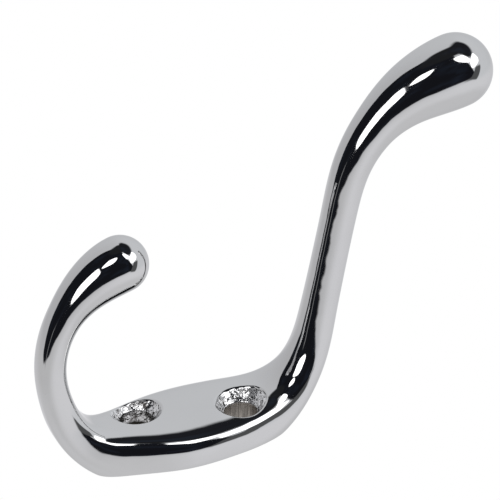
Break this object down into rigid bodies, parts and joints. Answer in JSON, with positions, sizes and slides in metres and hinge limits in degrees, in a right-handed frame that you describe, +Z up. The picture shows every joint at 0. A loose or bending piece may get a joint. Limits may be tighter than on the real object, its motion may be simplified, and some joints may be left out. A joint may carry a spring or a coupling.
{
  "type": "double coat hook",
  "caption": "Cast double coat hook for wall mounting: flat-backed base with countersunk screw holes, a long upper hook and a short curled lower hook, both ending in bulbs.",
  "frame": {"origin": "on the flat wall face of the base, midway between the two screw holes", "axes": "+Z points up the wall towards the long hook, +Y points into the wall, and the hooks reach out to -Y; X runs across the hook"},
  "size_m": [0.019, 0.0648, 0.0838],
  "materials": {
    "chrome_plated_zinc": "polished chrome plate on a zinc die casting, left as cast inside the screw holes"
  },
  "bodies": {
    "root": {"hook": "chrome_plated_zinc"}
  },
  "joints": []
}
